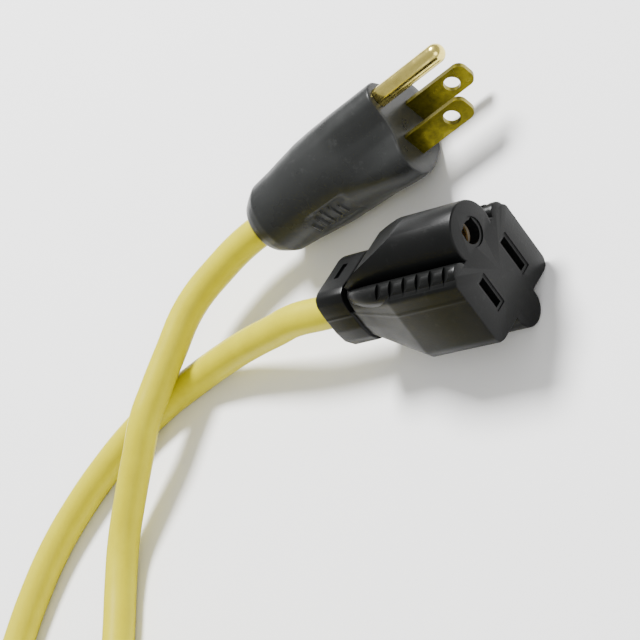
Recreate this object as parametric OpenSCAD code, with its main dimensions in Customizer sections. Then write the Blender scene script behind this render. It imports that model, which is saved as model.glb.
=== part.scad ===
// Grounded extension cord, 125 V 15 A, with moulded ends. Millimetres, +Z up.
// The origin is on the ground under the middle of the connector, whose mouth faces +X.
// Each moulded end is drawn in its own frame: x along the cord's axis with the mating face
// at x = 0 and the cord at minus x, z towards the ground contact.

/* [Contacts] */
// Distance between the two blades' middles
blade_spacing = 12.7; // [12.5:0.1:12.9]
// Distance from the blades' line to the ground pin's axis
ground_offset = 11.9; // [11.7:0.1:12.1]
// Width of a blade
blade_w = 6.35; // [5.8:0.05:7]
// Thickness of a blade
blade_t = 1.5; // [1.2:0.05:1.9]
// Length of a blade in front of the plug's face
blade_len = 17.2; // [14:0.1:21]
// Diameter of the hole in a blade
blade_hole_d = 4; // [3:0.1:4.8]
// Distance from the plug's face to the hole in a blade
blade_hole_x = 11.9; // [9.9:0.1:12.4]
// Diameter of the ground pin
pin_d = 4.76; // [4:0.02:5.7]
// Length of the ground pin in front of the plug's face
pin_len = 20.4; // [17:0.1:24.5]

/* [Plug] */
// Length of the moulded plug behind its face
plug_len = 47.5; // [39:0.5:57]
// Width of the plug's face
plug_face_w = 31.6; // [27:0.2:37]
// Height of the plug's face above the blades' line
plug_face_top = 15.8; // [15.2:0.2:19]
// Depth of the plug's face below the blades' line
plug_face_bottom = 9; // [8.4:0.2:10.8]
// Diameter of the plug where a hand holds it
plug_waist_d = 24; // [20:0.2:28.8]
// Diameter of the plug where the cord enters
plug_rear_d = 19; // [15.8:0.2:22.8]
// Height of the cord's axis above the plug's blades
plug_cord_z = 3; // [2:0.1:4]
// Length of the inner bridge that holds the blades
bridge_len = 11; // [9:0.5:13.4]
// Turn of the plug about its own axis as it lies
plug_roll = 15; // [0:1:30]
// Turn of the plug on the ground, from the connector's direction
plug_heading = 22; // [18:1:26]

/* [Connector] */
// Length of the moulded connector behind its face
conn_len = 45.5; // [42:0.5:54.6]
// Width of the connector's face
conn_w = 27.2; // [25:0.2:32.6]
// Height of the connector's block above the slots' line
conn_top = 9.6; // [9:0.2:11]
// Depth of the connector's block below the slots' line
conn_bottom = 9; // [8.4:0.2:10.8]
// Radius of the boss round the ground hole
boss_r = 7.1; // [6.6:0.1:8.5]
// Length of the straight boss
boss_len = 17.5; // [14.5:0.5:21]
// Width of the collar at the cord
collar_w = 17.6; // [14.6:0.2:21.2]
// Height of the collar at the cord
collar_h = 17; // [14.2:0.2:20.4]
// Length of the straight collar
collar_len = 8.7; // [7.2:0.1:10.5]
// Height of the cord's axis above the slots' line
conn_cord_z = 1; // [0:0.1:2]
// Radius of the two grip ridges
ridge_r = 2.6; // [2:0.1:3.1]
// Length of the grip ridges
ridge_len = 27; // [22.5:0.5:32.5]
// Distance between neighbouring grip notches
notch_pitch = 3.95; // [3.3:0.05:4.8]
// Radius of the round lobe under the block
lobe_r = 4.8; // [4:0.1:5.7]
// Length of the lobe
lobe_len = 16; // [13:0.5:19]
// Turn of the connector about its own axis as it lies
conn_roll = 27; // [20:1:34]

/* [Wires] */
// Diameter of one insulated wire
wire_d = 2.8; // [2.4:0.1:3.2]
// Diameter of the copper strands in a wire
strand_d = 1.5; // [1.2:0.1:1.8]
// Thickness of contact metal
contact_t = 0.6; // [0.5:0.05:0.72]
// Length of a crimp barrel
crimp_len = 6.5; // [5.4:0.1:7.8]

/* [Cord] */
// Diameter of the cord
cord_d = 8; // [7.4:0.1:8.8]
// Radius of the coil at the middle of its innermost turns
coil_inner_r = 42; // [40:1:44]
// Number of turns side by side in the coil
coil_columns = 4; // [4:1:4]
// Rise from the lowest to the highest turn
coil_rise = 42; // [35:1:50]
// Width of a coil tie
tie_w = 12; // [10:0.5:14.4]
// Thickness of a coil tie
tie_t = 1.2; // [1:0.1:1.5]

/* [Hidden] */
$fn = 48;

fit = 0.05;            // gap between pieces that are moulded or pressed together
over = 0.5;            // how far a cut runs past the face it opens
hull_fn = 32;
cord_r = cord_d / 2;
half_spacing = blade_spacing / 2;
slot_w = blade_t + 0.6;         // width of both slots, with room round a blade
slot_line_h = blade_w + 0.65;   // height of the short slot
slot_neutral_h = slot_line_h + 1.4;  // the long slot, which takes a wide neutral blade
ground_hole_w = pin_d + 0.54;   // ground hole, with room round the pin
block_len = blade_len + 2.3;    // straight front of the connector, with room past a blade's tip
line = -1;             // side of the connector that holds the line contact
neutral = 1;

// Plug sections, all on the cord's axis behind the face
plug_corner_r = 5.5;
plug_top_r = 6.2;
plug_edge = 1.2;       // rounding of the face's rim
plug_bevel = 3.5;      // rounding of the rear rim
plug_waist_x = -plug_len * 0.44;
plug_rear_x = -plug_len + plug_bevel;
plug_bottom_r = plug_face_bottom - 0.2;
bridge_x = -1.5;       // front of the bridge, behind the face
crimp_wall = 0.5;
shank_r = pin_d / 2 - 0.4; // radius of the pin inside the moulding
wire_circle = wire_d * 0.62;
wire_in_jacket = 4;
wire_steps = 6;
crimp_gap = 0.2;        // gap between an insulated wire and its crimp barrel
room_r = wire_d / 2 + 0.35;          // half the room left for one wire in a moulded end
plug_jacket_depth = 13; // length of cord jacket held inside the plug

// Connector sections
block_corner_r = 2;
collar_corner_r = 4;
collar_top = conn_cord_z + collar_h / 2 + 1;
collar_bottom = collar_top - collar_h;
ridge_y = conn_w / 2 - ridge_r - 0.7;
face_wall = 3;         // thickness of the connector's face in front of its contacts
carrier_gap = 0.1;
carrier_wall = 2.6;
carrier_len = block_len - face_wall - carrier_gap;
conn_jacket_depth = 7.5; // length of cord jacket held inside the connector
crimp_drop = 2.2;      // how far the ground contact's crimp stands below its sleeve's axis
pin_end_gap = 0.9;     // room behind the tip of a ground pin, with the sleeve's end wall
sleeve_r = pin_d / 2 + 0.04;
leaf_gap = blade_t - 0.1;
cavity_h = slot_neutral_h + 0.2;

// How high each end's blade line stands so that its lowest point touches the ground
plug_h = max(
    plug_bottom_r + 0.2 * cos(plug_roll),
    plug_waist_d / 2 - plug_cord_z * cos(plug_roll),
    plug_corner_r + (plug_face_w / 2 - plug_corner_r) * sin(plug_roll)
);
conn_h = max(
    lobe_r + (conn_bottom + 1) * cos(conn_roll),
    block_corner_r + (conn_bottom - block_corner_r) * cos(conn_roll)
        + (conn_w / 2 - block_corner_r) * sin(conn_roll)
);
conn_face = [conn_len / 2, 0, conn_h];

// Cord route. The plug's run comes off the cord end of the plug and goes over the other run.
plug_exit = [-59, 29.4, plug_h + plug_cord_z * cos(plug_roll)];
plug_dir = [cos(plug_heading), sin(plug_heading), 0];
plug_face = plug_exit + plug_len * plug_dir
    - plug_cord_z * [-sin(plug_roll) * sin(plug_heading), sin(plug_roll) * cos(plug_heading), cos(plug_roll)];
conn_exit = conn_face + [-conn_len, conn_cord_z * sin(conn_roll), conn_cord_z * cos(conn_roll)];
hump = cord_d * 1.5 + 0.5;   // height of the upper run's axis at the crossing
coil_last_r = coil_inner_r + (coil_columns - 1) * cord_d;  // middle of the outermost turns
coil_centre = [-144 + coil_last_r, -143 - sqrt(pow(coil_last_r + cord_d, 2) - pow(coil_last_r, 2))];
coil_join = coil_last_r + cord_d - 0.5;  // how far from the centre the plug's run meets the coil
plug_run = [
    plug_exit, plug_exit - 7 * plug_dir, [-73, 22, plug_exit[2]], [-82.5, 12.5, hump], [-87.5, 1, hump],
    [-91, -8.5, hump], [-93, -15, hump], [-96, -23.5, cord_r + 6.5], [-99.5, -33, cord_r + 4],
    [-102.5, -43.5, cord_r + 1.5], [-102.5, -54, cord_r + 0.3],
    [-101, -64, cord_r], [-99, -76, cord_r], [-96, -90, cord_r + 0.6],
    [coil_centre[0] - 9, coil_centre[1] + coil_join, cord_r + tie_t]
];
conn_run = [
    conn_exit, conn_exit - [9, 0, 0], conn_exit - [18, 0, 0], [-49, 0, cord_r + 8.9],
    [-60.2, -0.2, cord_r + 6.2], [-72.7, -0.9, cord_r + 2.9], [-85.8, -3.3, cord_r + 0.3],
    [-97.7, -8.4, cord_r], [-106, -13.5, cord_r], [-116.5, -22.5, cord_r],
    [-125, -32, cord_r], [-131.5, -41.5, cord_r], [-136.5, -52.5, cord_r], [-140.5, -66, cord_r],
    [-143, -80, cord_r], [-144, -95, cord_r], [-144, -112, cord_r + 0.4], [-144, -128, cord_r + 0.8],
    [-144, -143, cord_r + tie_t]
];
run_sides = 12;

// Coil
coil_bore_r = coil_inner_r - cord_r;
coil_outer_r = coil_last_r + cord_r;
coil_top = tie_t + cord_d + coil_rise;
coil_round = 3;
tie_angles = [-20, -150];

module at_plug() {
    translate(plug_face) rotate([0, 0, plug_heading]) rotate([-plug_roll, 0, 0]) children();
}

module at_connector() {
    translate(conn_face) rotate([-conn_roll, 0, 0]) children();
}

// A round bar along x from x0 to x1 at height z
module bar(x0, x1, r, y = 0, z = 0) {
    translate([min(x0, x1), y, z]) rotate([0, 90, 0]) cylinder(r = r, h = abs(x1 - x0));
}

// A flat profile drawn in the y-z plane, standing from x0 to x1
module slab(x0, x1) {
    translate([x0, 0, 0]) rotate([90, 0, 90]) linear_extrude(x1 - x0) children();
}

// A rectangle with rounded corners, from low to high corner
module round_rect(low, high, r) {
    hull() {
        for (y = [low[0] + r, high[0] - r], z = [low[1] + r, high[1] - r]) {
            translate([y, z]) circle(r, $fn = hull_fn);
        }
    }
}

function unit(v) = v / norm(v);
function heading_at(path, i) = unit(path[min(i + 1, len(path) - 1)] - path[max(i - 1, 0)]);
function ring_at(path, i, r, sides) = let (
        t = heading_at(path, i),
        side = unit(cross(t, [0, 0, 1])),
        up = cross(side, t)
    ) [for (k = [0 : sides - 1]) path[i] + r * (cos(k * 360 / sides) * side + sin(k * 360 / sides) * up)];

// A tube swept along the points in path, closed at both ends
module swept_tube(path, r, sides) {
    rings = len(path);
    points = [for (i = [0 : rings - 1]) each ring_at(path, i, r, sides)];
    walls = [
        for (i = [0 : rings - 2], k = [0 : sides - 1]) let (n = (k + 1) % sides)
            each [
                [i * sides + k, (i + 1) * sides + k, (i + 1) * sides + n],
                [i * sides + k, (i + 1) * sides + n, i * sides + n]
            ]
    ];
    near_cap = [for (k = [0 : sides - 1]) k];
    far_cap = [for (k = [sides - 1 : -1 : 0]) (rings - 1) * sides + k];
    polyhedron(points = points, faces = concat(walls, [near_cap, far_cap]));
}

// A tube swept along the points in path, open at both ends
module hollow_tube(path, r, bore_r, sides) {
    rings = len(path);
    inner = rings * sides;
    points = [
        for (i = [0 : rings - 1]) each ring_at(path, i, r, sides),
        for (i = [0 : rings - 1]) each ring_at(path, i, bore_r, sides)
    ];
    walls = [
        for (i = [0 : rings - 2], k = [0 : sides - 1]) let (n = (k + 1) % sides, a = i * sides, b = a + sides)
            each [
                [a + k, b + k, b + n], [a + k, b + n, a + n],
                [inner + a + k, inner + b + n, inner + b + k], [inner + a + k, inner + a + n, inner + b + n]
            ]
    ];
    rims = [
        for (k = [0 : sides - 1]) let (n = (k + 1) % sides, last = (rings - 1) * sides)
            each [
                [k, n, inner + n], [k, inner + n, inner + k],
                [last + k, inner + last + n, last + n], [last + k, inner + last + k, inner + last + n]
            ]
    ];
    polyhedron(points = points, faces = concat(walls, rims));
}

// Where each wire leaves the cord jacket, and its path from there to a crimp barrel's mouth
function wire_angle(i) = [210, 330, 90][i];
function wire_start(x, z, i) = [x, wire_circle * cos(wire_angle(i)), z + wire_circle * sin(wire_angle(i))];
function eased(s) = (1 - cos(180 * s)) / 2;
function between(p, q, s) = [
    p[0] + (q[0] - p[0]) * s, p[1] + (q[1] - p[1]) * eased(s), p[2] + (q[2] - p[2]) * eased(s)
];
function wire_path(x0, z0, i, end, past_start, past_end) = let (p = wire_start(x0, z0, i)) [
    p - [past_start, 0, 0], each [for (s = [0 : wire_steps]) between(p, end, s / wire_steps)], end + [past_end, 0, 0]
];

plug_jacket_x = -plug_len + plug_jacket_depth;
conn_jacket_x = -conn_len + conn_jacket_depth;
plug_crimp_x = bridge_x - bridge_len - crimp_len;
carrier_back = -face_wall - carrier_gap - carrier_len;
conn_crimp_x = carrier_back - crimp_len;
sleeve_back = -pin_len - pin_end_gap;
ground_crimp_x = sleeve_back - crimp_len;
plug_wire_ends = [
    [plug_crimp_x, -half_spacing, 0], [plug_crimp_x, half_spacing, 0], [plug_crimp_x, 0, ground_offset]
];
conn_wire_ends = [
    [conn_crimp_x, -half_spacing, 0], [conn_crimp_x, half_spacing, 0],
    [ground_crimp_x, 0, ground_offset - crimp_drop]
];

// Insulation from inside the jacket to the crimp barrel, hollow for the strands
module insulation(x0, z0, i, end) {
    path = wire_path(x0, z0, i, end - [crimp_gap, 0, 0], wire_in_jacket, crimp_gap / 2);
    hollow_tube(path, wire_d / 2, strand_d / 2 + 0.02, run_sides);
}

// Strands from inside the jacket to inside the crimp barrel
module strands(x0, z0, i, end) {
    swept_tube(wire_path(x0, z0, i, end - [crimp_gap, 0, 0], wire_in_jacket, crimp_len - 1), strand_d / 2, run_sides);
}

// The room that three wires take in a moulded end, from the jacket at x0 to the barrels' far end
module wire_room(x0, z0, crimp_x, ground_end) {
    start = x0 - 0.1;
    end = crimp_x + crimp_len + over;
    spread = crimp_x - 2;
    half_w = half_spacing + room_r;
    translate([0, 0, -room_r]) linear_extrude(z0 + 2 * room_r) {
        polygon([
            [start, -3.6], [spread, -half_w], [end, -half_w], [end, half_w], [spread, half_w], [start, 3.6]
        ]);
    }
    top = ground_end[2] + room_r;
    rotate([90, 0, 0]) linear_extrude(2 * room_r, center = true) {
        polygon([[start, 0], [start, z0 + 4.2], [ground_end[0] - 1.7, top], [end, top], [end, 0]]);
    }
}

module crimp_barrel(x0, y, z) {
    difference() {
        bar(x0, x0 + crimp_len, strand_d / 2 + crimp_wall, y, z);
        bar(x0 - over, x0 + crimp_len - 1 + fit, strand_d / 2 + 0.01, y, z);
    }
}

// The cord's jacket inside a moulded end, with its three wires' bores
module jacket_end(length, depth, axis_z) {
    difference() {
        bar(-length, -length + depth, cord_r, 0, axis_z);
        for (i = [0 : 2]) {
            start = wire_start(-length + depth, axis_z, i);
            bar(start[0] - wire_in_jacket, start[0] + over, wire_d / 2 + 0.01, start[1], start[2]);
        }
    }
}

module plug_face_section(inset) {
    r = plug_corner_r - inset;
    hull() {
        translate([0, plug_face_top - plug_top_r]) circle(plug_top_r - inset, $fn = hull_fn);
        for (s = [-1, 1]) translate([s * (plug_face_w / 2 - plug_corner_r), 0]) circle(r, $fn = hull_fn);
        translate([0, -0.2]) circle(plug_bottom_r - inset, $fn = hull_fn);
    }
}

module plug_round_section(d) {
    translate([0, plug_cord_z]) circle(d = d, $fn = hull_fn);
}

module plug_outside() {
    sliver = 0.02;
    hull() {
        slab(-sliver, 0) plug_face_section(plug_edge);
        slab(-plug_edge, -plug_edge + sliver) plug_face_section(0);
    }
    hull() {
        slab(-plug_edge, -plug_edge + sliver) plug_face_section(0);
        slab(plug_waist_x, plug_waist_x + sliver) plug_round_section(plug_waist_d);
    }
    hull() {
        slab(plug_waist_x, plug_waist_x + sliver) plug_round_section(plug_waist_d);
        slab(plug_rear_x, plug_rear_x + sliver) plug_round_section(plug_rear_d);
    }
    hull() {
        slab(plug_rear_x, plug_rear_x + sliver) plug_round_section(plug_rear_d);
        slab(-plug_len, -plug_len + sliver) plug_round_section(plug_rear_d - plug_bevel);
    }
}

module bridge_outside(gap) {
    half_w = half_spacing + 4;
    x0 = bridge_x - bridge_len;
    translate([x0 - gap, -half_w - gap, -4.5 - gap]) cube([bridge_len + 2 * gap, 2 * (half_w + gap), 9 + 2 * gap]);
    bar(x0 - gap, bridge_x + gap, 4 + gap, 0, ground_offset - 1);
    translate([x0 - gap, -4 - gap, 0]) cube([bridge_len + 2 * gap, 8 + 2 * gap, ground_offset - 1]);
}

module blade_shape(y, gap) {
    root = bridge_x - bridge_len;
    translate([root, y - blade_t / 2 - gap, -blade_w / 2 - gap]) {
        cube([blade_len - root, blade_t + 2 * gap, blade_w + 2 * gap]);
    }
}

module blade(y) {
    tip_r = 2.2;
    root = bridge_x - bridge_len;
    rotate([90, 0, 0]) translate([0, 0, -y - blade_t / 2]) linear_extrude(blade_t) difference() {
        union() {
            translate([root, -blade_w / 2]) square([blade_len - tip_r - root, blade_w]);
            translate([blade_len - tip_r - over, -blade_w / 2 + tip_r]) square([tip_r + over, blade_w - 2 * tip_r]);
            for (s = [-1, 1]) translate([blade_len - tip_r, s * (blade_w / 2 - tip_r)]) circle(tip_r);
        }
        translate([blade_hole_x, 0]) circle(d = blade_hole_d);
    }
    crimp_barrel(plug_crimp_x, y, 0);
}

module line_blade() { color("darkkhaki") at_plug() blade(half_spacing); }

module neutral_blade() { color("darkkhaki") at_plug() blade(-half_spacing); }

module ground_pin() {
    r = pin_d / 2;
    color("darkkhaki") at_plug() {
        bar(0, pin_len - r, r, 0, ground_offset);
        bar(bridge_x - bridge_len, over, shank_r, 0, ground_offset);
        translate([pin_len - r, 0, ground_offset]) sphere(r = r);
        crimp_barrel(plug_crimp_x, 0, ground_offset);
    }
}

module blade_bridge() {
    color("dimgray") at_plug() difference() {
        bridge_outside(0);
        for (s = [-1, 1]) blade_shape(s * half_spacing, 0.01);
        bar(bridge_x - bridge_len - over, 1, shank_r + 0.01, 0, ground_offset);
    }
}

module plug_body() {
    color("dimgray") at_plug() difference() {
        plug_outside();
        bridge_outside(fit);
        for (s = [-1, 1]) blade_shape(s * half_spacing, 0.01);
        bar(bridge_x - over, 1, shank_r + 0.01, 0, ground_offset);
        bar(-0.3, 1, pin_d / 2 + 0.01, 0, ground_offset);
        wire_room(plug_jacket_x, plug_cord_z, plug_crimp_x, plug_wire_ends[2]);
        bar(-plug_len - over, plug_jacket_x, cord_r, 0, plug_cord_z);
    }
}

module plug_insulation(i) {
    at_plug() insulation(plug_jacket_x, plug_cord_z, i, plug_wire_ends[i]);
}

module plug_copper(i) {
    at_plug() strands(plug_jacket_x, plug_cord_z, i, plug_wire_ends[i]);
}

module plug_line_wire() { color("#202020") plug_insulation(1); }
module plug_neutral_wire() { color("white") plug_insulation(0); }
module plug_ground_wire() { color("green") plug_insulation(2); }
module plug_line_strands() { color("peru") plug_copper(1); }
module plug_neutral_strands() { color("peru") plug_copper(0); }
module plug_ground_strands() { color("peru") plug_copper(2); }
module plug_jacket_end() { color("gold") at_plug() jacket_end(plug_len, plug_jacket_depth, plug_cord_z); }

module block_section(inset = 0) {
    round_rect(
        [-conn_w / 2 + inset, -conn_bottom + inset], [conn_w / 2 - inset, conn_top - inset], block_corner_r
    );
}

module collar_section(inset = 0) {
    round_rect(
        [-collar_w / 2 + inset, collar_bottom + inset], [collar_w / 2 - inset, collar_top - inset], collar_corner_r
    );
}

module connector_outside() {
    step = 0.1;            // how far the taper's ends stand inside what they join
    neck_x = -conn_len + collar_len;
    ramp_end = neck_x - 1.2;
    slab(-block_len, 0) block_section();
    hull() {
        slab(-block_len, -block_len + over) block_section(step);
        slab(neck_x - over, neck_x) collar_section(step);
    }
    slab(-conn_len, neck_x) collar_section();
    bar(-boss_len, 0, boss_r, 0, ground_offset);
    hull() {
        bar(-boss_len - step, -boss_len + over, boss_r - 0.3, 0, ground_offset, $fn = hull_fn);
        bar(ramp_end, ramp_end + step, boss_r - 1, 0, collar_top - boss_r - step, $fn = hull_fn);
    }
    for (s = [-1, 1]) difference() {
        bar(-ridge_len, 0, ridge_r, s * ridge_y, conn_top - 0.4);
        for (k = [0 : 5]) translate([-2.8 - k * notch_pitch, s * ridge_y, conn_top + ridge_r]) {
            rotate([90, 0, 0]) cylinder(r = 1, h = 3 * ridge_r, center = true, $fn = 24);
        }
    }
    bar(-lobe_len, 0, lobe_r, 0, -conn_bottom - 1);
}

module ground_hole_section(w) {
    circle(d = w);
    translate([-w / 2 + 0.1, 0]) square([w - 0.2, w / 2 - 0.4]);
}

module slot_cut(side, h, depth) {
    translate([-depth, side * half_spacing - slot_w / 2, -h / 2]) cube([depth + over, slot_w, h]);
}

// Space for one contact in the carrier
module contact_cavity(side) {
    translate([carrier_back - over, side * half_spacing - 2.2, -cavity_h / 2]) {
        cube([carrier_len + 2 * over, 4.4, cavity_h]);
    }
}

module carrier_outside(gap) {
    slab(carrier_back - gap, -face_wall - carrier_gap + gap) union() {
        translate([-half_spacing - 2.2 - carrier_wall - gap, -cavity_h / 2 - 1.6 - gap]) {
            square([blade_spacing + 4.4 + 2 * (carrier_wall + gap), cavity_h + 3.2 + 2 * gap]);
        }
        translate([0, ground_offset]) circle(sleeve_r + contact_t + 1.4 + gap);
        translate([-3 - gap, 0]) square([6 + 2 * gap, ground_offset]);
    }
}

module contact_carrier() {
    color("gray") at_connector() difference() {
        carrier_outside(0);
        for (s = [line, neutral]) contact_cavity(s);
        bar(carrier_back - over, 0, sleeve_r + contact_t + 0.2, 0, ground_offset);
    }
}

// Two spring leaves that grip a blade, joined at the back and crimped to a wire
module blade_contact(side) {
    leaf_x = carrier_back + 2 * contact_t;
    leaf_len = -face_wall - 2.6 - leaf_x;
    y = side * half_spacing;
    for (s = [-1, 1]) {
        translate([leaf_x, y + s * (leaf_gap + contact_t) / 2 - contact_t / 2, -blade_w / 2]) {
            cube([leaf_len, contact_t, blade_w]);
        }
        translate([leaf_x + leaf_len, y + s * (leaf_gap + contact_t) / 2, 0]) rotate([0, 0, s * 20]) {
            translate([-0.1, -contact_t / 2, -blade_w / 2]) cube([2, contact_t, blade_w]);
        }
    }
    translate([leaf_x - contact_t, y - leaf_gap / 2 - contact_t, -blade_w / 2]) {
        cube([contact_t + 0.01, leaf_gap + 2 * contact_t, blade_w]);
    }
    bar(carrier_back - 0.1, leaf_x - contact_t + 0.01, strand_d / 2 + crimp_wall, y, 0);
    crimp_barrel(conn_crimp_x, y, 0);
}

module line_contact() { color("goldenrod") at_connector() blade_contact(line); }

module neutral_contact() { color("goldenrod") at_connector() blade_contact(neutral); }

// A sleeve that takes the ground pin, crimped to a wire
module ground_contact() {
    crimp_z = ground_offset - crimp_drop;
    color("goldenrod") at_connector() {
        difference() {
            bar(sleeve_back, -face_wall - 1, sleeve_r + contact_t, 0, ground_offset);
            bar(sleeve_back + contact_t, 0, sleeve_r, 0, ground_offset);
        }
        bar(sleeve_back - 0.5, sleeve_back + 0.1, strand_d / 2 + crimp_wall, 0, crimp_z);
        crimp_barrel(ground_crimp_x, 0, crimp_z);
    }
}

module connector_body() {
    color("#303030") at_connector() difference() {
        connector_outside();
        carrier_outside(fit);
        slot_cut(neutral, slot_neutral_h, face_wall + over);
        slot_cut(line, slot_line_h, face_wall + over);
        slab(-face_wall - over, over) translate([0, ground_offset]) ground_hole_section(ground_hole_w);
        wire_room(conn_jacket_x, conn_cord_z, conn_crimp_x, conn_wire_ends[2]);
        bar(sleeve_back - fit, carrier_back, sleeve_r + contact_t + fit, 0, ground_offset);
        bar(-conn_len - over, conn_jacket_x, cord_r, 0, conn_cord_z);
    }
}

module conn_insulation(i) {
    at_connector() insulation(conn_jacket_x, conn_cord_z, i, conn_wire_ends[i]);
}

module conn_copper(i) {
    at_connector() strands(conn_jacket_x, conn_cord_z, i, conn_wire_ends[i]);
}

module connector_line_wire() { color("#202020") conn_insulation(0); }
module connector_neutral_wire() { color("white") conn_insulation(1); }
module connector_ground_wire() { color("green") conn_insulation(2); }
module connector_line_strands() { color("peru") conn_copper(0); }
module connector_neutral_strands() { color("peru") conn_copper(1); }
module connector_ground_strands() { color("peru") conn_copper(2); }
module connector_jacket_end() { color("gold") at_connector() jacket_end(conn_len, conn_jacket_depth, conn_cord_z); }

module connector_cord_run() { color("yellow") swept_tube(conn_run, cord_r, run_sides); }

module plug_cord_run() { color("yellow") swept_tube(plug_run, cord_r, run_sides); }

module cord_coil() {
    color("yellow") translate([coil_centre[0], coil_centre[1], 0]) rotate_extrude($fn = 96) {
        round_rect([coil_bore_r, tie_t], [coil_outer_r, coil_top], coil_round);
    }
}

module coil_tie(angle) {
    color("#202020") translate([coil_centre[0], coil_centre[1], 0]) rotate([0, 0, angle]) {
        rotate([90, 0, 0]) linear_extrude(tie_w, center = true) difference() {
            round_rect([coil_bore_r - tie_t, 0], [coil_outer_r + tie_t, coil_top + tie_t], coil_round + tie_t);
            round_rect([coil_bore_r, tie_t], [coil_outer_r, coil_top], coil_round);
        }
    }
}

module coil_tie_right() { coil_tie(tie_angles[0]); }
module coil_tie_left() { coil_tie(tie_angles[1]); }

connector_body();
contact_carrier();
line_contact();
neutral_contact();
ground_contact();
connector_line_wire();
connector_neutral_wire();
connector_ground_wire();
connector_line_strands();
connector_neutral_strands();
connector_ground_strands();
connector_jacket_end();
plug_body();
blade_bridge();
line_blade();
neutral_blade();
ground_pin();
plug_line_wire();
plug_neutral_wire();
plug_ground_wire();
plug_line_strands();
plug_neutral_strands();
plug_ground_strands();
plug_jacket_end();
connector_cord_run();
plug_cord_run();
cord_coil();
coil_tie_right();
coil_tie_left();
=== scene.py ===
import math

import bmesh
import bpy
from mathutils import Matrix, Vector


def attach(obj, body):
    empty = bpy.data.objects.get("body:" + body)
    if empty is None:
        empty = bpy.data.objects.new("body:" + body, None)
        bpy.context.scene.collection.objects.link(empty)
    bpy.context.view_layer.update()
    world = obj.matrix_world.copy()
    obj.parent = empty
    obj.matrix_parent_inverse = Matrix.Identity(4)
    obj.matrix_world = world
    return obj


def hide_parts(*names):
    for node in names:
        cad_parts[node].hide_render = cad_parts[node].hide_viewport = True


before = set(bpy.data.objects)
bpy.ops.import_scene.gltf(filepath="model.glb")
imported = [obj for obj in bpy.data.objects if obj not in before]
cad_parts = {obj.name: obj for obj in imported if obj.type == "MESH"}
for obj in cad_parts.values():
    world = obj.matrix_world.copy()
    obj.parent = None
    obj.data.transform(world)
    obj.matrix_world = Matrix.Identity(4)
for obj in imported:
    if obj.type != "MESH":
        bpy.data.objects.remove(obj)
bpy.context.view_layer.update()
mm = 0.001

# A long lens that looks down over the connector's mouth
camera = {
    "place": (0.350558, -0.199519, 0.359960),
    "right": (0.700344, 0.128497, -0.702144),
    "up": (0.171870, 0.924368, 0.340595),
    "back": (0.692805, -0.359212, 0.625291),
    "lens": 135,
    "sensor": 36,
}


def placeCamera(settings):
    data = bpy.data.cameras.new("viewpoint")
    data.lens = settings["lens"]
    data.sensor_width = settings["sensor"]
    data.clip_start = 0.01
    item = bpy.data.objects.new("viewpoint", data)
    bpy.context.collection.objects.link(item)
    turn = Matrix((settings["right"], settings["up"], settings["back"])).transposed().to_4x4()
    item.matrix_world = Matrix.Translation(settings["place"]) @ turn
    bpy.context.scene.camera = item


placeCamera(camera)
print("camera placed")


# Finishes: small helpers first, then one function for each kind of surface
def startFinish(name, color, roughness, metallic=0.0, specular=0.5):
    finish = bpy.data.materials.new(name)
    finish.use_nodes = True
    shader = finish.node_tree.nodes["Principled BSDF"]
    shader.inputs["Base Color"].default_value = (*color, 1)
    shader.inputs["Roughness"].default_value = roughness
    shader.inputs["Metallic"].default_value = metallic
    shader.inputs["Specular IOR Level"].default_value = specular
    return finish, finish.node_tree, shader


def objectCoords(tree, stretch=(1, 1, 1), turn=(0, 0, 0)):
    coords = tree.nodes.new("ShaderNodeTexCoord")
    mapping = tree.nodes.new("ShaderNodeMapping")
    mapping.inputs["Scale"].default_value = stretch
    mapping.inputs["Rotation"].default_value = turn
    tree.links.new(coords.outputs["Object"], mapping.inputs["Vector"])
    return mapping.outputs["Vector"]


def addNoise(tree, coords, scale, detail=4.0, rough=0.55):
    noise = tree.nodes.new("ShaderNodeTexNoise")
    noise.inputs["Scale"].default_value = scale
    noise.inputs["Detail"].default_value = detail
    noise.inputs["Roughness"].default_value = rough
    tree.links.new(coords, noise.inputs["Vector"])
    return noise.outputs["Fac"]


def addRange(tree, value, low, high, toLow, toHigh):
    remap = tree.nodes.new("ShaderNodeMapRange")
    for name, number in zip(("From Min", "From Max", "To Min", "To Max"), (low, high, toLow, toHigh)):
        remap.inputs[name].default_value = number
    tree.links.new(value, remap.inputs["Value"])
    return remap.outputs["Result"]


def blendColors(tree, amount, first, second):
    mix = tree.nodes.new("ShaderNodeMix")
    mix.data_type = "RGBA"
    tree.links.new(amount, mix.inputs["Factor"])
    for socket, color in (("A_Color", first), ("B_Color", second)):
        target = next(s for s in mix.inputs if s.identifier == socket)
        if isinstance(color, tuple):
            target.default_value = (*color, 1)
        else:
            tree.links.new(color, target)
    return next(s for s in mix.outputs if s.identifier == "Result_Color")


def addBump(tree, shader, heights):
    last = None
    for height, strength, distance in heights:
        bump = tree.nodes.new("ShaderNodeBump")
        bump.inputs["Strength"].default_value = strength
        bump.inputs["Distance"].default_value = distance
        tree.links.new(height, bump.inputs["Height"])
        if last:
            tree.links.new(last, bump.inputs["Normal"])
        last = bump.outputs["Normal"]
    tree.links.new(last, shader.inputs["Normal"])


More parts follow.
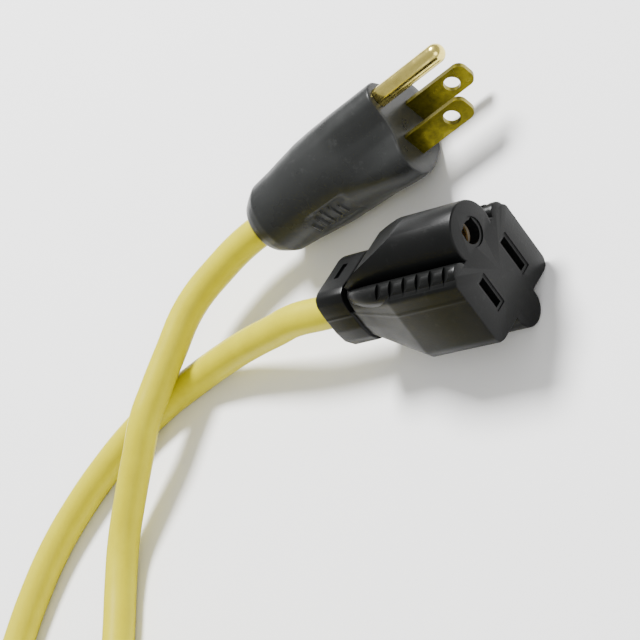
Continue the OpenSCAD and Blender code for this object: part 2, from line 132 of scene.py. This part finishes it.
# Moulded vinyl: fine grain, faint flow marks, paler scuffs where it has been handled
def mouldedFinish(name, color, scuffed, roughness, grain):
    finish, tree, shader = startFinish(name, color, roughness, specular=0.14)
    coords = objectCoords(tree)
    flow = addNoise(tree, coords, 90, 3)
    fine = addNoise(tree, coords, 2600, 2)
    scuff = addRange(tree, addNoise(tree, coords, 420, 6, 0.7), 0.58, 0.78, 0, 1)
    darker = tuple(0.82 * c for c in color)
    shaded = blendColors(tree, addRange(tree, flow, 0.3, 0.7, 0, 1), darker, color)
    tree.links.new(blendColors(tree, scuff, shaded, scuffed), shader.inputs["Base Color"])
    uneven = addRange(tree, flow, 0.3, 0.75, roughness - 0.06, roughness + 0.1)
    tree.links.new(uneven, shader.inputs["Roughness"])
    addBump(tree, shader, [(fine, grain, 0.00005), (flow, 0.12, 0.0003)])
    return finish


# Extruded cord jacket: soft sheen, a slow ripple over the wires inside, dust in the grain
def jacketFinish(name, color, shade):
    finish, tree, shader = startFinish(name, color, 0.42, specular=0.2)
    coords = objectCoords(tree)
    ripple = addNoise(tree, coords, 55, 2)
    fine = addNoise(tree, coords, 1900, 3)
    mottle = addRange(tree, addNoise(tree, coords, 140, 5, 0.65), 0.35, 0.7, 0, 1)
    tree.links.new(blendColors(tree, mottle, shade, color), shader.inputs["Base Color"])
    tree.links.new(addRange(tree, fine, 0.3, 0.7, 0.36, 0.5), shader.inputs["Roughness"])
    addBump(tree, shader, [(ripple, 0.2, 0.0006), (fine, 0.22, 0.00005)])
    return finish


# Metal that was rolled and cut: fine lines along one way, darker tarnish in patches
def metalFinish(name, color, tarnish, roughness, stretch, turn=(0, 0, 0), amount=1.0):
    finish, tree, shader = startFinish(name, color, roughness, metallic=1.0)
    lines = addNoise(tree, objectCoords(tree, stretch, turn), 1, 4)
    patches = addNoise(tree, objectCoords(tree), 330, 6, 0.65)
    stain = addRange(tree, patches, 0.42, 0.72, 0, amount)
    tree.links.new(blendColors(tree, stain, color, tarnish), shader.inputs["Base Color"])
    tree.links.new(addRange(tree, patches, 0.35, 0.7, roughness, roughness + 0.2), shader.inputs["Roughness"])
    addBump(tree, shader, [(lines, 0.25, 0.00004)])
    return finish


# Bare copper: many fine strands twisted together
def strandFinish(name, color):
    finish, tree, shader = startFinish(name, color, 0.3, metallic=1.0)
    wave = tree.nodes.new("ShaderNodeTexWave")
    wave.inputs["Scale"].default_value = 620
    wave.inputs["Distortion"].default_value = 1.5
    tree.links.new(objectCoords(tree, turn=(0.3, 0.4, 0.7)), wave.inputs["Vector"])
    dark = tuple(0.45 * c for c in color)
    tree.links.new(blendColors(tree, wave.outputs["Fac"], dark, color), shader.inputs["Base Color"])
    addBump(tree, shader, [(wave.outputs["Fac"], 0.6, 0.0001)])
    return finish


# Woven strap: two crossing sets of threads and a little fuzz
def strapFinish(name, color):
    finish, tree, shader = startFinish(name, color, 0.85)
    shader.inputs["Sheen Weight"].default_value = 0.3
    height = None
    for turn in ((0, 0, 0.78), (0, 1.57, -0.78)):
        wave = tree.nodes.new("ShaderNodeTexWave")
        wave.inputs["Scale"].default_value = 560
        wave.inputs["Distortion"].default_value = 0.6
        tree.links.new(objectCoords(tree, turn=turn), wave.inputs["Vector"])
        if height is None:
            height = wave.outputs["Fac"]
        else:
            add = tree.nodes.new("ShaderNodeMath")
            add.operation = "MULTIPLY"
            tree.links.new(height, add.inputs[0])
            tree.links.new(wave.outputs["Fac"], add.inputs[1])
            height = add.outputs["Value"]
    fuzz = addNoise(tree, objectCoords(tree), 1500, 4)
    darker = tuple(0.5 * c for c in color)
    tree.links.new(blendColors(tree, height, darker, color), shader.inputs["Base Color"])
    addBump(tree, shader, [(height, 0.7, 0.0002), (fuzz, 0.4, 0.0001)])
    return finish


finishes = {
    "cordJacket": jacketFinish("yellow cord jacket", (0.52, 0.465, 0.0), (0.47, 0.41, 0.0)),
    "plugGrey": mouldedFinish(
        "grey moulded plug", (0.022, 0.023, 0.0226), (0.036, 0.037, 0.0365), 0.3, 0.3),
    "connectorBlack": mouldedFinish(
        "black moulded connector", (0.004, 0.0043, 0.0042), (0.011, 0.0115, 0.0112), 0.36, 0.4),
    "carrierPlastic": mouldedFinish("pale contact carrier", (0.45, 0.42, 0.36), (0.6, 0.57, 0.5), 0.5, 0.3),
    # The blades' dark olive base colour is a painted reflection: it stands in for the dark surroundings
    # mirrored in the polished brass.
    "bladeBrassDarkReflection": metalFinish(
        "brass blades with painted dark reflection", (0.20, 0.17, 0.015), (0.07, 0.062, 0.008), 0.26,
        (300, 300, 4200), (0, 0, 0.4)),
    "pinBrass": metalFinish(
        "bright brass pin", (0.86, 0.72, 0.2), (0.35, 0.27, 0.05), 0.12,
        (2500, 300, 2500), (0, 0, 0.4), 0.5),
    "contactBrass": metalFinish(
        "contact brass", (0.7, 0.5, 0.2), (0.35, 0.22, 0.08), 0.28, (300, 2600, 2600)),
    "copper": strandFinish("bare copper strands", (0.82, 0.38, 0.2)),
    "lineInsulation": jacketFinish("black wire insulation", (0.02, 0.02, 0.021), (0.014, 0.014, 0.015)),
    "neutralInsulation": jacketFinish("white wire insulation", (0.8, 0.8, 0.77), (0.68, 0.68, 0.64)),
    "groundInsulation": jacketFinish("green wire insulation", (0.03, 0.3, 0.07), (0.02, 0.22, 0.05)),
    "tieStrap": strapFinish("woven tie strap", (0.03, 0.03, 0.033)),
}
print("finishes made:", len(finishes))


# The cord is one yellow lead from the connector to the plug, with its unseen length coiled
cord = {
    "diameter": 0.008,
    "length": 7.62,
    "connectorExit": (-22.75, 0.454, 14.601),
    "plugExit": (-59, 29.4, 12.0),
    "plugHeading": 22,
    "hidden": 2.0,  # how far each end runs on inside its moulding
    "connectorRun": [
        (-49, 0, 12.9), (-60.2, -0.2, 10.2), (-72.7, -0.9, 6.9), (-85.8, -3.3, 4.3), (-97.7, -8.4, 4),
        (-106, -13.5, 4), (-116.5, -22.5, 4), (-125, -32, 4), (-131.5, -41.5, 4), (-136.5, -52.5, 4),
        (-140.5, -66, 4), (-143, -80, 4), (-144, -95, 4), (-144, -112, 4.4), (-144, -128, 4.8),
        (-144, -143, 5.2),
    ],
    "plugRun": [
        (-73, 22, 12), (-82.5, 12.5, 12.5), (-87.5, 1, 12.5), (-91, -8.5, 12.5), (-93, -15, 12.5),
        (-96, -23.5, 10.5), (-99.5, -33, 8), (-102.5, -43.5, 5.5), (-102.5, -54, 4.3), (-101, -64, 4),
        (-99, -76, 4), (-96, -90, 4.6), (-87, -102.97, 5.2),
    ],
    "coilCentre": (-78, -176.47),
    "innerTurn": 42,
    "columns": 4,
    "bottom": 5.2,
    "low": 13.2,
    "high": 46.76,
    "columnTurns": 1509.9,  # degrees in one column of the coil
    "pointsInTurn": 16,
}


def coilPoints(c):
    step = c["diameter"] / mm
    outer = c["innerTurn"] + (c["columns"] - 1) * step
    keys = [(0, outer, c["bottom"]), (60, outer, c["bottom"]), (200, outer - step, c["bottom"])]
    keys += [(560, outer - 2 * step, c["bottom"]), (920, c["innerTurn"], c["bottom"])]
    keys += [(1070, c["innerTurn"], c["low"])]
    angle, height = 1070, c["low"]
    for column in range(c["columns"]):
        angle += c["columnTurns"]
        height = c["high"] if height == c["low"] else c["low"]
        keys.append((angle, c["innerTurn"] + column * step, height))
        if column < c["columns"] - 1:
            angle += 90
            keys.append((angle, c["innerTurn"] + (column + 1) * step, height))
    last = math.ceil((angle + 60) / 360) * 360 + 270 - 360
    while last < angle + 60:
        last += 360
    keys.append((last, outer, c["bottom"]))
    count = round(last / 360 * c["pointsInTurn"])
    points = []
    for i in range(count + 1):
        phi = last * i / count
        before = max(k for k in range(len(keys) - 1) if keys[k][0] <= phi)
        (a0, r0, z0), (a1, r1, z1) = keys[before], keys[before + 1]
        t = (phi - a0) / (a1 - a0)
        if a1 - a0 < c["columnTurns"] - 1:
            t = t * t * (3 - 2 * t)
        theta = math.radians(90 - phi)
        r, z = r0 + (r1 - r0) * t, z0 + (z1 - z0) * t
        points.append((c["coilCentre"][0] + r * math.cos(theta), c["coilCentre"][1] + r * math.sin(theta), z))
    return points


def cordRoute(c):
    heading = math.radians(c["plugHeading"])
    away = Vector((math.cos(heading), math.sin(heading), 0))
    start, end = Vector(c["connectorExit"]), Vector(c["plugExit"])
    route = [start + Vector((c["hidden"], 0, 0)), start - Vector((9, 0, 0)), start - Vector((18, 0, 0))]
    route += [Vector(p) for p in c["connectorRun"]]
    route += [Vector(p) for p in reversed(coilPoints(c))]
    route += [Vector(p) for p in reversed(c["plugRun"])]
    route += [end - 7 * away, end + c["hidden"] * away]
    return [p * mm for p in route]


def layCord(c):
    route = cordRoute(c)
    line = bpy.data.curves.new("yellow_cord", "CURVE")
    line.dimensions = "3D"
    line.bevel_depth = c["diameter"] / 2
    line.bevel_resolution = 5
    line.resolution_u = 5
    line.use_fill_caps = True
    spline = line.splines.new("BEZIER")
    spline.bezier_points.add(len(route) - 1)
    for point, place in zip(spline.bezier_points, route):
        point.co = place
        point.handle_left_type = point.handle_right_type = "AUTO"
    item = bpy.data.objects.new("yellow_cord", line)
    bpy.context.collection.objects.link(item)
    line.materials.append(finishes["cordJacket"])
    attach(item, "root")
    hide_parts("connector_cord_run", "plug_cord_run", "cord_coil")
    return item


yellowCord = layCord(cord)
print("cord laid")


# Shaping helpers: pieces are drawn in millimetres along X, then put where they lie
def placing(face, heading, roll):
    turn = Matrix.Rotation(math.radians(heading), 4, "Z") @ Matrix.Rotation(math.radians(roll), 4, "X")
    return Matrix.Translation(Vector(face) * mm) @ turn @ Matrix.Scale(mm, 4)


def makeItem(bm, name):
    data = bpy.data.meshes.new(name)
    bm.to_mesh(data)
    bm.free()
    item = bpy.data.objects.new(name, data)
    bpy.context.collection.objects.link(item)
    return item


def settle(item, place, finish, nodes, sharp=32):
    item.data.transform(place)
    for polygon in item.data.polygons:
        polygon.use_smooth = True
    item.data.set_sharp_from_angle(angle=math.radians(sharp))
    item.data.materials.clear()
    item.data.materials.append(finishes[finish])
    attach(item, "root")
    if nodes:
        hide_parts(*nodes)
    return item


# A skin over rings of points: a grid whose two long edges meet, its end rings drawn in to a point
def ringSkin(rings):
    around, along = len(rings[0]), len(rings)
    bm = bmesh.new()
    bmesh.ops.create_grid(bm, x_segments=around, y_segments=along - 1, size=1)
    ordered = sorted(bm.verts, key=lambda v: (round(v.co.y, 5), round(v.co.x, 5)))
    for j, ring in enumerate(rings):
        for i in range(around + 1):
            ordered[j * (around + 1) + i].co = ring[i % around]
    bmesh.ops.remove_doubles(bm, verts=bm.verts, dist=0.0004)
    bmesh.ops.recalc_face_normals(bm, faces=bm.faces)
    return bm


def easeEdges(bm, edges, width, segments):
    bmesh.ops.bevel(
        bm, geom=edges, offset=width, offset_type="OFFSET", affect="EDGES", segments=segments,
        profile=0.5, material=-1)


def rod(radius, start, end, y, z, segments=64):
    bm = bmesh.new()
    bmesh.ops.create_cone(
        bm, cap_ends=True, segments=segments, radius1=radius, radius2=radius, depth=end - start)
    bmesh.ops.rotate(bm, verts=bm.verts, matrix=Matrix.Rotation(math.radians(90), 3, "Y"))
    bmesh.ops.translate(bm, verts=bm.verts, vec=((start + end) / 2, y, z))
    return bm


def box(low, high, edge=0.0):
    bm = bmesh.new()
    bmesh.ops.create_cube(bm, size=1)
    size = Vector(high) - Vector(low)
    bmesh.ops.scale(bm, verts=bm.verts, vec=size)
    bmesh.ops.translate(bm, verts=bm.verts, vec=Vector(low) + size / 2)
    if edge:
        easeEdges(bm, bm.edges[:], edge, 3)
    return bm


def combine(item, others, operation):
    for number, other in enumerate(others):
        tool = makeItem(other, f"tool_{number}")
        change = item.modifiers.new("combine", "BOOLEAN")
        change.operation = operation
        change.solver = "EXACT"
        change.object = tool
    graph = bpy.context.evaluated_depsgraph_get()
    result = bpy.data.meshes.new_from_object(item.evaluated_get(graph))
    tools = [m.object for m in item.modifiers]
    item.modifiers.clear()
    item.data = result
    for tool in tools:
        bpy.data.objects.remove(tool)


# A round-cornered outline as distances from a centre, one for each of so many directions
def outlineRadii(points, centre, count):
    radii = []
    for i in range(count):
        angle = 2 * math.pi * i / count
        dy, dz = math.cos(angle), math.sin(angle)
        best = 0
        for k, (y0, z0) in enumerate(points):
            y1, z1 = points[(k + 1) % len(points)]
            ay, az, by, bz = y0 - centre[0], z0 - centre[1], y1 - y0, z1 - z0
            cross = dy * bz - dz * by
            if abs(cross) < 1e-9:
                continue
            reach = (ay * bz - az * by) / cross
            share = (ay * dz - az * dy) / cross
            if reach > 0 and -1e-6 <= share <= 1 + 1e-6:
                best = max(best, reach)
        radii.append(best)
    return radii


def soften(radii, passes):
    for _ in range(passes):
        radii = [
            (radii[i - 1] + 2 * radii[i] + radii[(i + 1) % len(radii)]) / 4 for i in range(len(radii))
        ]
    return radii


def ease(t):
    t = min(max(t, 0), 1)
    return t * t * (3 - 2 * t)


def between(x, table):
    for (x0, v0), (x1, v1) in zip(table, table[1:]):
        if x0 >= x >= x1:
            return v0 + (v1 - v0) * (x0 - x) / (x0 - x1)
    return table[0][1] if x > table[0][0] else table[-1][1]


# The plug's grip: a wide face that draws in to a round waist and a chamfered rear rim
plug = {
    "face": (-14.668, 46.474, 9.102),
    "heading": 22,
    "roll": -15,
    "middle": 3,
    "around": 180,
    "step": 0.28,
    "outline": [
        (0, 15.7), (2, 15.4), (3.8, 14.4), (5.2, 12.4), (6.6, 9.8), (8.9, 7.2), (11.5, 5.6), (14, 4.2),
        (15.4, 2), (15.6, 0), (15, -2.6), (12.8, -4.9), (9.3, -6.7), (5, -8.0), (0, -8.8),
    ],
    "waist": [
        (-14, 12.3), (-21, 12.0), (-27, 11.6), (-33, 10.8), (-37, 10.2), (-41, 9.8), (-42.6, 9.65),
        (-43.1, 9.45), (-45.2, 8.3), (-46.8, 7.25), (-47.3, 6.7), (-47.5, 6.2),
    ],
    "blendLength": 19,
    "topBlend": 11,
    "rim": 0.55,
    "ribs": [(-31.8, 186, 206), (-29.5, 180, 206), (-27.4, 176, 205), (-24.9, 177, 203), (-22.6, 183, 204)],
    "ribWidth": 0.62,
    "ribHeight": 0.55,
    "scoop": (-33.5, -18.5, 172, 216),
    "scoopDepth": 0.5,
    "bladeHalf": 6.35,
}


def plugRelief(p, x, degrees):
    side = degrees
    if degrees < 90 or degrees > 270:
        side = (180 - degrees) % 360  # the far side repeats the near one
    relief = 0
    back, front, low, high = p["scoop"]
    inLength = ease((x - back) / 5) * ease((front - x) / 2.4)
    inTurn = ease((side - low) / 5) * ease((high - side) / 7)
    relief -= p["scoopDepth"] * inLength * inTurn
    for place, start, end in p["ribs"]:
        near = max(0, 1 - abs(x - place) / p["ribWidth"])
        relief += p["ribHeight"] * ease(near * 1.6) * ease((side - start) / 4) * ease((end - side) / 4)
    if -19.3 < x < -1:
        relief += 0.12 * max(0, 1 - abs(side - 215) / 0.9)  # moulding line
    return relief


def shapePlug(p):
    count = p["around"]
    half = p["outline"]
    points = half + [(-y, z) for y, z in reversed(half[1:-1])]
    face = soften(outlineRadii(points, (0, p["middle"]), count), 2)
    stations = [0] + [-p["rim"] * (1 - math.cos(math.radians(a))) for a in (30, 60, 90)]
    x = -p["rim"]
    while x > -47.1:
        x -= p["step"]
        stations.append(x)
    stations.append(-47.5)
    rings = [[(0, 0, p["middle"])] * count]
    for share in (0.3, 0.6, 0.85):
        rings.append([])
        for i in range(count):
            a = 2 * math.pi * i / count
            r = (face[i] - p["rim"]) * share
            rings[-1].append((0, r * math.cos(a), p["middle"] + r * math.sin(a)))
    for x in stations:
        drawnIn = p["rim"] * (1 - math.sqrt(max(0, 1 - (1 + x / p["rim"]) ** 2))) if x > -p["rim"] else 0
        ring = []
        for i in range(count):
            a = 2 * math.pi * i / count
            t = ease((-x - 1.5) / (p["blendLength"] + p["topBlend"] * max(0, math.sin(a)) ** 2))
            r = face[i] * (1 - t) + between(x, p["waist"]) * t - drawnIn + plugRelief(p, x, 360 * i / count)
            ring.append((x, r * math.cos(a), p["middle"] + r * math.sin(a)))
        rings.append(ring)
    for share in (0.85, 0.7):
        rings.append([(-47.5, y * share, p["middle"] + (z - p["middle"]) * share) for x, y, z in ring])
    rings.append([(-47.5, 0, p["middle"])] * count)
    return makeItem(ringSkin(rings), "plug_moulding")


def wireRoom(start, z0, crimp, groundEnd):
    spread, end, half = crimp - 2, crimp + 7, 8.1
    bm = bmesh.new()
    plan = [(start, -3.6), (spread, -half), (end, -half), (end, half), (spread, half), (start, 3.6)]
    floor = bm.faces.new([bm.verts.new((x, y, -1.75)) for x, y in plan])
    raised = bmesh.ops.extrude_face_region(bm, geom=[floor])["geom"]
    tops = [v for v in raised if isinstance(v, bmesh.types.BMVert)]
    bmesh.ops.translate(bm, verts=tops, vec=(0, 0, z0 + 3.5))
    bmesh.ops.recalc_face_normals(bm, faces=bm.faces)
    tall = bmesh.new()
    top = groundEnd[1] + 1.75
    side = [(start, 0), (start, z0 + 4.2), (groundEnd[0] - 1.7, top), (end, top), (end, 0)]
    wall = tall.faces.new([tall.verts.new((x, -1.75, z)) for x, z in side])
    raised = bmesh.ops.extrude_face_region(tall, geom=[wall])["geom"]
    tops = [v for v in raised if isinstance(v, bmesh.types.BMVert)]
    bmesh.ops.translate(tall, verts=tops, vec=(0, 3.5, 0))
    bmesh.ops.recalc_face_normals(tall, faces=tall.faces)
    return [bm, tall]


plugPlace = placing(plug["face"], plug["heading"], plug["roll"])
plugMoulding = shapePlug(plug)
cuts = [box((-12.55, -9, -4.55), (-1.45, 9, 4.55)), rod(4.03, -48.2, -34.5, 0, plug["middle"], 48)]
for y in (-plug["bladeHalf"], plug["bladeHalf"]):
    cuts.append(box((-1.7, y - 0.8, -3.22), (0.4, y + 0.8, 3.22)))
cuts += [rod(2.42, -0.6, 0.5, 0, 11.9, 48), rod(1.99, -21, 0.2, 0, 11.9, 40)]
cuts += wireRoom(-34.6, 3, -19, (-19, 11.9))
combine(plugMoulding, cuts, "DIFFERENCE")
settle(plugMoulding, plugPlace, "plugGrey", ["plug_body"], 23)
print("plug moulded:", len(plugMoulding.data.polygons), "faces")


# The blades and the pin keep their modelled shape, with their cut edges eased
def easedNode(node, name, width, finish):
    bm = bmesh.new()
    bm.from_mesh(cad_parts[node].data)
    bmesh.ops.remove_doubles(bm, verts=bm.verts, dist=0.000002)
    bmesh.ops.dissolve_limit(bm, angle_limit=math.radians(1.5), verts=bm.verts, edges=bm.edges)
    item = makeItem(bm, name)
    edges = item.modifiers.new("eased edges", "BEVEL")
    edges.width = width * mm
    edges.segments = 2
    edges.limit_method = "ANGLE"
    edges.angle_limit = math.radians(40)
    return settle(item, Matrix(), finish, [node])


easedNode("line_blade", "line_blade_metal", 0.14, "bladeBrassDarkReflection")
easedNode("neutral_blade", "neutral_blade_metal", 0.14, "bladeBrassDarkReflection")
easedNode("ground_pin", "ground_pin_metal", 0.1, "pinBrass")
print("blades and pin finished")


# The connector: a flat-sided block with a round boss, two ridges, a lobe, a taper and a collar
connector = {
    "face": (22.75, 0, 13.7101),
    "roll": -27,
    "around": 240,
    "middle": (0, 0.8),
    "block": [
        (-13.6, 8.2), (-12.4, 9.5), (12.4, 9.5), (13.6, 8.2), (13.6, -7.4), (12.7, -8.9), (11.4, -9.35),
        (-11.4, -9.35), (-12.7, -8.9), (-13.6, -7.4),
    ],
    "collar": [
        (-8.8, 6), (-8.5, 8.4), (-7.6, 9.8), (-5.9, 10.4), (5.9, 10.4), (7.6, 9.8), (8.5, 8.4), (8.8, 6),
        (8.8, 0.5), (8.2, -2.8), (6.6, -5.1), (4.2, -6.3), (1.5, -6.6), (-1.5, -6.6), (-4.2, -6.3),
        (-6.6, -5.1), (-8.2, -2.8), (-8.8, 0.5),
    ],
    "blockEnd": -19.6,
    "taperEnd": -36.6,
    "length": 45.5,
    "edge": 0.45,
    "seam": 4.3,
    "boss": {"radius": 7.1, "height": 11.9},
    "ramp": [(-15.5, 19), (-18.9, 17.8), (-23.8, 16.1), (-30.1, 13.8), (-36.7, 10.0)],
    "ridge": {
        "radius": 2.6, "side": 10.1, "height": 8.6, "lean": 34,
        "stations": [
            (-0.02, 2.25, 10.1, 8.6), (-0.15, 2.5, 10.1, 8.6), (-0.5, 2.6, 10.1, 8.6), (-24, 2.6, 10.1, 8.6),
            (-27, 2.5, 9.8, 8.55), (-30, 2.2, 9.2, 8.5), (-33, 1.7, 8.3, 8.4), (-35, 1.1, 7.4, 8.3),
            (-35.4, 0.7, 7.2, 8.3),
        ],
    },
    "notches": [-2.8, -6.8, -10.7, -14.6, -18.6, -22.5],
    "lobe": {"radius": 4.7, "height": -10, "length": 16},
    "half": 6.35,
}


def shapeBlock(c):
    count = c["around"]
    block = soften(outlineRadii(c["block"], c["middle"], count), 1)
    collar = soften(outlineRadii(c["collar"], c["middle"], count), 2)
    tight = [r - 0.55 for r in collar]
    e = c["edge"]
    stations = [(0, block, e), (-e * 0.3, block, e * 0.3), (-e, block, 0), (c["blockEnd"], block, 0)]
    steps = 14
    for k in range(1, steps + 1):
        t = k / steps
        shape = [b * (1 - t) + r * t for b, r in zip(block, tight)]
        stations.append((c["blockEnd"] + (c["taperEnd"] - c["blockEnd"]) * t, shape, 0))
    x, end = c["taperEnd"] - 0.12, -c["length"]
    stations += [(x, collar, 0.35), (x - 0.2, collar, 0.1), (x - 0.5, collar, 0)]
    stations += [(end + 1.1, collar, 0), (end + 0.45, collar, 0.25)]
    stations += [(end + 0.1, collar, 0.8), (end, collar, 1.2)]
    rings = [[(0, c["middle"][0], c["middle"][1])] * count]
    for x, shape, drawn in stations:
        ring = []
        for i, r in enumerate(shape):
            a = 2 * math.pi * i / count
            if abs(r * math.sin(a) + c["middle"][1] - c["seam"]) < 0.2:
                r += 0.09
            r -= drawn
            ring.append((x, c["middle"][0] + r * math.cos(a), c["middle"][1] + r * math.sin(a)))
        rings.append(ring)
    rings.append([(end, c["middle"][0], c["middle"][1])] * count)
    return makeItem(ringSkin(rings), "connector_moulding")


def shapeBoss(c):
    boss, ramp = c["boss"], c["ramp"]
    bm = rod(boss["radius"], -36.9, -0.01, 0, boss["height"], 120)
    front = [e for e in bm.edges if all(v.co.x > -0.1 for v in e.verts)]
    easeEdges(bm, front, c["edge"], 3)
    for (x0, z0), (x1, z1) in zip(ramp, ramp[1:]):
        normal = Vector((z0 - z1, 0, x1 - x0)) * -1
        cut = bmesh.ops.bisect_plane(
            bm, geom=bm.verts[:] + bm.edges[:] + bm.faces[:], plane_co=(x0, 0, z0), plane_no=normal,
            clear_outer=True)
        rim = [e for e in cut["geom_cut"] if isinstance(e, bmesh.types.BMEdge)]
        bmesh.ops.edgenet_fill(bm, edges=rim)
    bmesh.ops.recalc_face_normals(bm, faces=bm.faces)
    return bm


def shapeRidge(c, side):
    r = c["ridge"]
    rings = []
    for x, radius, out, up in r["stations"]:
        ring = []
        for i in range(56):
            a = 2 * math.pi * i / 56
            ring.append((x, side * out + radius * math.cos(a), up + radius * math.sin(a)))
        rings.append(ring)
    first, last = r["stations"][0], r["stations"][-1]
    rings.insert(0, [(first[0], side * first[2], first[3])] * 56)
    rings.append([(last[0], side * last[2], last[3])] * 56)
    return ringSkin(rings)


def shapeNotch(c, x, side):
    r = c["ridge"]
    bm = bmesh.new()
    bmesh.ops.create_cone(bm, cap_ends=True, segments=3, radius1=1.25, radius2=1.25, depth=6.4)
    bmesh.ops.rotate(bm, verts=bm.verts, matrix=Matrix.Rotation(math.radians(90), 3, "X"))
    bmesh.ops.rotate(bm, verts=bm.verts, matrix=Matrix.Rotation(math.radians(100), 3, "Y"))
    bmesh.ops.translate(bm, verts=bm.verts, vec=(x, 0, r["radius"] + 0.1))
    lean = Matrix.Rotation(math.radians(-side * r["lean"]), 3, "X")
    bmesh.ops.rotate(bm, verts=bm.verts, matrix=lean)
    bmesh.ops.translate(bm, verts=bm.verts, vec=(0, side * r["side"], r["height"]))
    return bm


def shapeLobe(c):
    lobe = c["lobe"]
    bm = rod(lobe["radius"], -lobe["length"], -0.03, 0.2, lobe["height"], 72)
    for x, width in ((-lobe["length"], 2.2), (-0.03, 0.45)):
        ring = [e for e in bm.edges if all(abs(v.co.x - x) < 1e-4 for v in e.verts)]
        easeEdges(bm, ring, width, 5)
    return bm


connectorPlace = placing(connector["face"], 0, connector["roll"])
connectorMoulding = shapeBlock(connector)
added = [shapeBoss(connector), shapeLobe(connector), shapeRidge(connector, -1), shapeRidge(connector, 1)]
combine(connectorMoulding, added, "UNION")
slotSizes = [(connector["half"], 4.2), (-connector["half"], 3.5)]
cuts = [shapeNotch(connector, x, side) for x in connector["notches"] for side in (-1, 1)]
cuts += [box((-3.6, y - 1.05, -h), (0.5, y + 1.05, h)) for y, h in slotSizes]
cuts += [box((-0.35, y - 1.75, -h - 0.7), (0.5, y + 1.75, h + 0.7), 0.2) for y, h in slotSizes]
cuts += [rod(3.45, -0.3, 0.5, 0, 11.9, 64), rod(2.65, -3.6, 0.4, 0, 11.9, 64)]
cuts += [box((-3.6, -2.55, 11.9), (0.4, 2.55, 14.15))]
cuts += [box((-19.55, -11.2, -5.95), (-3.05, 11.2, 5.95)), rod(4.47, -19.55, -3.05, 0, 11.9, 64)]
cuts += [box((-19.5, -3.05, 0), (-3.1, 3.05, 11.9)), rod(3.07, -21.35, -19, 0, 11.9, 48)]
cuts += [rod(4.03, -46, -37.9, 0, 1, 48)] + wireRoom(-38, 1, -26, (-27.8, 9.7))
cuts += [box((-42, -1.9, 9.7), (-40.4, 3.1, 11.5), 0.15)]
cuts += [box((-36.9, -9.4, 4.8), (-35.3, -4, 12.5))]
combine(connectorMoulding, cuts, "DIFFERENCE")
settle(connectorMoulding, connectorPlace, "connectorBlack", ["connector_body"])
print("connector moulded:", len(connectorMoulding.data.polygons), "faces")


# Two woven straps hold the coil
tieNames = []
for side in ("right", "left"):
    strap = easedNode("coil_tie_" + side, "tie_strap_" + side, 0.3, "tieStrap")
    tieNames.append(strap.name)
shownPlugPieces = ["plug_moulding", "line_blade_metal", "neutral_blade_metal", "ground_pin_metal"] + tieNames


# Every inner part keeps its modelled shape and gets its own finish
nodeFinishes = {
    "carrierPlastic": ["contact_carrier", "blade_bridge"],
    "contactBrass": ["line_contact", "neutral_contact", "ground_contact"],
    "lineInsulation": ["connector_line_wire", "plug_line_wire"],
    "neutralInsulation": ["connector_neutral_wire", "plug_neutral_wire"],
    "groundInsulation": ["connector_ground_wire", "plug_ground_wire"],
    "copper": [
        "connector_line_strands", "connector_neutral_strands", "connector_ground_strands",
        "plug_line_strands", "plug_neutral_strands", "plug_ground_strands",
    ],
    "cordJacket": ["connector_jacket_end", "plug_jacket_end"],
}
for finish, names in nodeFinishes.items():
    for name in names:
        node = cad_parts[name]
        node.data.materials.clear()
        node.data.materials.append(finishes[finish])
print("inner parts finished")


def addFloor(size):
    bm = bmesh.new()
    bmesh.ops.create_grid(bm, x_segments=2, y_segments=2, size=size)
    bmesh.ops.translate(bm, vec=(0, 0, -0.0001), verts=bm.verts)
    data = bpy.data.meshes.new("floor")
    bm.to_mesh(data)
    bm.free()
    item = bpy.data.objects.new("floor", data)
    bpy.context.collection.objects.link(item)
    finish, tree, shader = startFinish("pale floor", (0.9, 0.9, 0.9), 0.85)
    paper = addRange(tree, addNoise(tree, objectCoords(tree), 30, 3), 0.3, 0.7, 0, 1)
    mottled = blendColors(tree, paper, (0.895, 0.895, 0.895), (0.91, 0.91, 0.91))
    tree.links.new(mottled, shader.inputs["Base Color"])
    data.materials.append(finish)


def addSoftLight(name, place, target, size, power):
    data = bpy.data.lights.new(name, "AREA")
    data.shape = "DISK"
    data.size = size
    data.energy = power
    item = bpy.data.objects.new(name, data)
    bpy.context.collection.objects.link(item)
    aim = (Vector(target) - Vector(place)).to_track_quat("-Z", "Y").to_matrix().to_4x4()
    item.matrix_world = Matrix.Translation(place) @ aim


studio = {
    "floor": 4,
    "sky": 0.6,
    "middle": (-0.03, 0.01, 0.01),
    "lights": [
        ("key light", (-0.35, 0.75, 1.15), 0.45, 62),
        ("front fill", (0.9, -0.5, 0.8), 0.9, 7),
        ("low side fill", (0.2, -1.1, 0.5), 0.8, 1.5),
    ],
}
addFloor(studio["floor"])
for name, place, size, power in studio["lights"]:
    addSoftLight(name, place, studio["middle"], size, power)
world = bpy.data.worlds.new("pale room")
world.use_nodes = True
world.node_tree.nodes["Background"].inputs["Color"].default_value = (1, 1, 1, 1)
world.node_tree.nodes["Background"].inputs["Strength"].default_value = studio["sky"]
bpy.context.scene.world = world
print("floor and lights set")

innerKinds = ("wire", "strands", "end")
plugPieces = [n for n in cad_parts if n.startswith("plug_") and n.endswith(innerKinds)]
plugPieces += ["blade_bridge"] + shownPlugPieces
